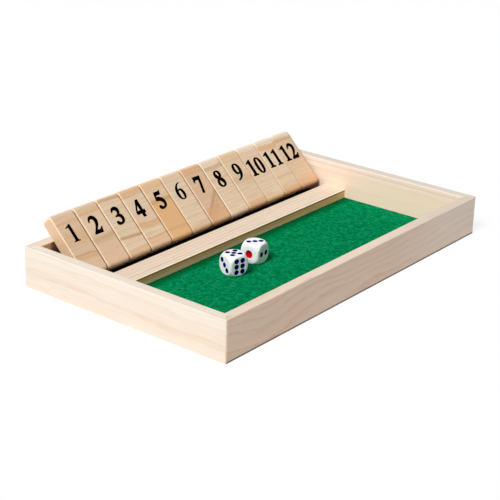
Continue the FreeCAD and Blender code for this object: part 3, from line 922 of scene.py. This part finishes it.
def add_tile(node, number, leaning):
    """A moulded tile in place of its node."""
    tile = add_object(f"{node}_moulded", tile_mesh(TILE_LOOKS[number].arris), tile_wood(number))
    tile.modifiers.new("even_shading", "WEIGHTED_NORMAL").keep_sharp = True
    tile.matrix_world = leaning
    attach(tile, node)
    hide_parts(node)


def add_number(node, number, leaning, printed):
    """The number printed on a tile's front, with a quarter of its ink in the wood."""
    across, up, spread = TILE_LOOKS[number].stamp
    figure = add_object(f"number_{number:02d}", number_mesh(number, spread), printed)
    spot = Vector((across, -TILE_FACE - INK_THICKNESS / 4, TILE_TOP - NUMBER_CENTRE + up))
    figure.matrix_world = leaning @ Matrix.Translation(spot * MM)
    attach(figure, node)


def lay_tiles():
    printed = ink()
    for joint in frame["joints"]:
        node = joint["child"]
        if not node.startswith("tile_"):
            continue
        number = int(node[-2:])
        origin, lean = tile_frame(joint, node)
        leaning = Matrix.Translation(origin) @ Matrix.Rotation(math.radians(-lean), 4, "X")
        add_tile(node, number, leaning)
        add_number(node, number, leaning, printed)


def dress_tray():
    dress("front_wall", pine("front_wall", 1.2, FRONT_GRAIN, PINE_BLOND, FRONT_TINTS))
    dress("back_wall", pine("back_wall", tints=BACK_TINTS))
    dress("left_end_wall", pine("left_end_wall", 90, pale=PINE_CREAM, tints=LEFT_TINTS))
    dress("right_end_wall", pine("right_end_wall", 90, pale=PINE_YELLOW, tints=RIGHT_TINTS))
    dress("divider_rail", pine("divider_rail", 0.0, RAIL_GRAIN, tints=RAIL_TINTS))
    dress("base_panel", plywood())
    dress("tile_rod", steel())


def pip_spots(number, slant):
    """Places of a face's pips, in millimetres from its middle."""
    corners = [(x * PIP_CORNER, y * PIP_CORNER) for x in (-1, 1) for y in (-1, 1)]
    return {
        1: [(0, 0)],
        2: [(-PIP_PAIR, 0), (PIP_PAIR, 0)],
        3: [(-PIP_CORNER, -PIP_CORNER * slant), (0, 0), (PIP_CORNER, PIP_CORNER * slant)],
        4: corners,
        5: corners + [(0, 0)],
        6: [(x, y) for x in (-SIX_COLUMN, SIX_COLUMN) for y in (-SIX_ROW, 0, SIX_ROW)],
    }[number]


def die_reach(direction):
    """Distance to the surface: a cube with soft edges, blended into the ball that cuts its corners."""
    total = sum(abs(part) ** DIE_SQUARENESS for part in direction)
    cube = DIE_HALF / total ** (1 / DIE_SQUARENESS)
    near = max(1 - abs(cube - DIE_BALL) / DIE_BLEND, 0.0)
    return min(cube, DIE_BALL) - near * near * DIE_BLEND / 4


def die_mesh(name, die):
    """The die with its pips sunk; each point knows how far inside a pip's rim it lies."""
    shape = bmesh.new()
    bmesh.ops.create_cube(shape, size=2.0)
    bmesh.ops.subdivide_edges(shape, edges=shape.edges[:], cuts=DIE_CUTS, use_grid_fill=True)
    pip = shape.verts.layers.float.new("pip")
    ace = shape.verts.layers.float.new("ace")
    for vertex in shape.verts:
        direction = vertex.co.normalized()
        spot = direction * die_reach(direction)
        axis = max(range(3), key=lambda index: abs(spot[index]))
        side = math.copysign(1, spot[axis])
        number = die.faces[axis, side]
        flat = [spot[index] for index in range(3) if index != axis]
        radius, depth = (ACE_RADIUS, ACE_DEPTH) if number == 1 else (PIP_RADIUS, PIP_DEPTH)
        away = min(math.dist(flat, place) for place in pip_spots(number, die.slant))
        vertex[pip] = radius - away
        vertex[ace] = number == 1
        spot[axis] -= side * depth * max(1 - (away / radius) ** 2, 0.0)
        vertex.co = spot * MM
    mesh = take_mesh(shape, name)
    mesh.shade_smooth()
    return mesh


def lay_dice():
    plastic = die_plastic()
    for node, die in DICE.items():
        low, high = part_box(node)
        piece = add_object(f"{node}_polished", die_mesh(f"{node}_polished", die), plastic)
        turn = Matrix.Rotation(math.radians(die.turn), 4, "Z")
        piece.matrix_world = Matrix.Translation((low + high) / 2) @ turn
        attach(piece, node)
        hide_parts(node)


def nap(x, y):
    """Height of the felt's surface below its top, in metres."""
    coarse = noise.noise(Vector((x, y, 0.0)) * FELT_NAP_SCALE)
    fine = noise.noise(Vector((x, y, 1.0)) * FELT_NAP_SCALE * FELT_NAP_FINER)
    return FELT_NAP * (NAP_MEAN + NAP_COARSE * coarse + NAP_FINE * fine)


def drawn_in(share, inward):
    """How far a point moves along one axis if it lies on that rim, by its place from -0.5 to 0.5."""
    return math.copysign(inward, share) if abs(share) > FELT_RIM else 0.0


def lay_nap(shape, low, high):
    """A grid over the felt's box with an uneven nap and slightly wandering edges."""
    span = high - low
    columns = round(span.x / FELT_CELL)
    rows = round(span.y / FELT_CELL)
    bmesh.ops.create_grid(shape, x_segments=columns, y_segments=rows, size=0.5)
    rim = {vertex for edge in shape.edges if edge.is_boundary for vertex in edge.verts}
    for vertex in shape.verts:
        x = low.x + span.x * (vertex.co.x + 0.5)
        y = low.y + span.y * (vertex.co.y + 0.5)
        inward = FELT_EDGE_WANDER * (1 + noise.noise(Vector((x, y, 2.0)) * FELT_EDGE_SCALE)) / 2
        if vertex in rim:
            x -= drawn_in(vertex.co.x, inward)
            y -= drawn_in(vertex.co.y, inward)
        vertex.co = Vector((x, y, high.z - nap(x, y)))


def close_below(shape, level):
    """Sides from the felt's rim down to a level, and a flat underside."""
    edges = [edge for edge in shape.edges if edge.is_boundary]
    skirt = bmesh.ops.extrude_edge_only(shape, edges=edges)["geom"]
    for item in skirt:
        if isinstance(item, bmesh.types.BMVert):
            item.co.z = level
    bottom = [edge for edge in shape.edges if edge.is_boundary]
    bmesh.ops.contextual_create(shape, geom=bottom)


def felt_mat():
    """The cut felt as one closed sheet."""
    low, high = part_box("felt_mat")
    shape = bmesh.new()
    lay_nap(shape, low, high)
    close_below(shape, low.z)
    bmesh.ops.recalc_face_normals(shape, faces=shape.faces)
    mesh = take_mesh(shape, "felt_cloth")
    mesh.shade_smooth()
    return add_object("felt_cloth", mesh, felt_cloth())


def add_fibre(shape, path, radius):
    """A thin thread with flat sides along a path."""
    rings = []
    for index, point in enumerate(path):
        ahead = path[min(index + 1, len(path) - 1)] - path[max(index - 1, 0)]
        side = ahead.cross(Vector((0, 0, 1))).normalized()
        lift = side.cross(ahead).normalized()
        angles = [math.radians(90 + 360 / FIBRE_SIDES * corner) for corner in range(FIBRE_SIDES)]
        spots = [point + radius * (math.cos(angle) * side + math.sin(angle) * lift) for angle in angles]
        rings.append([shape.verts.new(spot) for spot in spots])
    for near, far in zip(rings, rings[1:]):
        skin(shape, near, far)
    shape.faces.new(rings[0][::-1])
    shape.faces.new(rings[-1])


def felt_fibres():
    """Loose wool fibres that lie curled on the felt."""
    low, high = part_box("felt_mat")
    draw = random.Random(FIBRE_SEED)
    shape = bmesh.new()
    margin = FIBRE_LENGTH[1]
    for _ in range(FIBRE_COUNT):
        spot = Vector((draw.uniform(low.x + margin, high.x - margin),
                       draw.uniform(low.y + margin, high.y - margin)))
        heading = draw.uniform(0, math.tau)
        curl = draw.uniform(-FIBRE_CURL, FIBRE_CURL)
        stride = draw.uniform(*FIBRE_LENGTH) / (FIBRE_JOINTS - 1)
        path = []
        for _ in range(FIBRE_JOINTS):
            path.append(Vector((spot.x, spot.y, high.z - nap(spot.x, spot.y) + FIBRE_RADIUS)))
            spot = spot + stride * Vector((math.cos(heading), math.sin(heading)))
            heading += curl
        add_fibre(shape, path, FIBRE_RADIUS)
    bmesh.ops.recalc_face_normals(shape, faces=shape.faces)
    return add_object("felt_fibres", take_mesh(shape, "felt_fibres"), felt_fibre())


def lay_felt():
    mat = felt_mat()
    fibres = felt_fibres()
    for piece in (mat, fibres):
        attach(piece, "tray")
    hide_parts("felt_mat")


def add_camera():
    azimuth = math.radians(CAMERA_AZIMUTH)
    elevation = math.radians(CAMERA_ELEVATION)
    level = math.cos(elevation)
    back = Vector((math.sin(azimuth) * level, -math.cos(azimuth) * level, math.sin(elevation)))
    right = Vector((0, 0, 1)).cross(back).normalized()
    up = back.cross(right)
    turned = Matrix((right, up, back)).transposed().to_4x4()
    roll = Matrix.Rotation(math.radians(CAMERA_ROLL), 4, "Z")
    data = bpy.data.cameras.new("photo_camera")
    data.lens = CAMERA_LENS
    data.sensor_width = CAMERA_SENSOR
    data.sensor_fit = "HORIZONTAL"
    data.clip_start = CAMERA_NEAR
    camera = bpy.data.objects.new("photo_camera", data)
    camera.matrix_world = Matrix.Translation(CAMERA_TARGET + back * CAMERA_DISTANCE) @ turned @ roll
    bpy.context.scene.collection.objects.link(camera)
    bpy.context.scene.camera = camera


def add_sun():
    data = bpy.data.lights.new("sun", "SUN")
    data.energy = SUN_STRENGTH
    data.angle = math.radians(SUN_SPREAD)
    sun = bpy.data.objects.new("sun", data)
    sun.rotation_euler = SUN_DIRECTION.to_track_quat("Z", "Y").to_euler()
    bpy.context.scene.collection.objects.link(sun)


def seen_directly(nodes, links):
    """1 for what the camera, a mirror or glass shows, and 0 for light that bounces."""
    path = nodes.new("ShaderNodeLightPath")
    total = path.outputs["Is Camera Ray"]
    for name in ("Is Glossy Ray", "Is Transmission Ray"):
        either = nodes.new("ShaderNodeMath")
        either.operation = "MAXIMUM"
        links.new(total, either.inputs[0])
        links.new(path.outputs[name], either.inputs[1])
        total = either.outputs[0]
    return total


def add_sky():
    world = bpy.data.worlds.new("studio")
    world.use_nodes = True
    nodes = world.node_tree.nodes
    links = world.node_tree.links
    strength = nodes.new("ShaderNodeMapRange")
    strength.inputs["To Min"].default_value = SKY_STRENGTH
    links.new(seen_directly(nodes, links), strength.inputs["Value"])
    sky = nodes["Background"]
    sky.inputs["Color"].default_value = (1, 1, 1, 1)
    links.new(strength.outputs["Result"], sky.inputs["Strength"])
    bpy.context.scene.world = world


def add_floor():
    """A white floor that keeps the object's shadow."""
    shape = bmesh.new()
    below = Matrix.Translation((0, 0, -FLOOR_DROP))
    bmesh.ops.create_grid(
        shape, x_segments=FLOOR_CELLS, y_segments=FLOOR_CELLS, size=FLOOR_SIZE / 2, matrix=below,
    )
    mesh = take_mesh(shape, "floor")
    graph = Graph("white_floor")
    nodes, links = graph.nodes, graph.links
    seen = seen_directly(nodes, links)
    speckle = graph.noise(graph.local(), PAPER_SCALE, detail=2.0)
    paper = graph.ramp(speckle, [(0.3, PAPER_GREY), (0.7, PAPER_PALE)])
    colour = graph.mix(seen, paper, PAPER_WHITE)
    graph.surface(Base_Color=colour, Roughness=0.9, Specular_IOR_Level=0.0)
    glow = nodes.new("ShaderNodeEmission")
    blend = nodes.new("ShaderNodeMixShader")
    share = graph.math("MULTIPLY", seen, FLOOR_WHITENESS)
    links.new(share, blend.inputs["Fac"])
    links.new(graph.shader.outputs["BSDF"], blend.inputs[1])
    links.new(glow.outputs["Emission"], blend.inputs[2])
    links.new(blend.outputs["Shader"], nodes["Material Output"].inputs["Surface"])
    add_object("floor", mesh, graph.material)


dress_tray()
lay_tiles()
lay_dice()
lay_felt()
add_camera()
add_sun()
add_sky()
add_floor()
bpy.context.scene.view_settings.view_transform = "Standard"
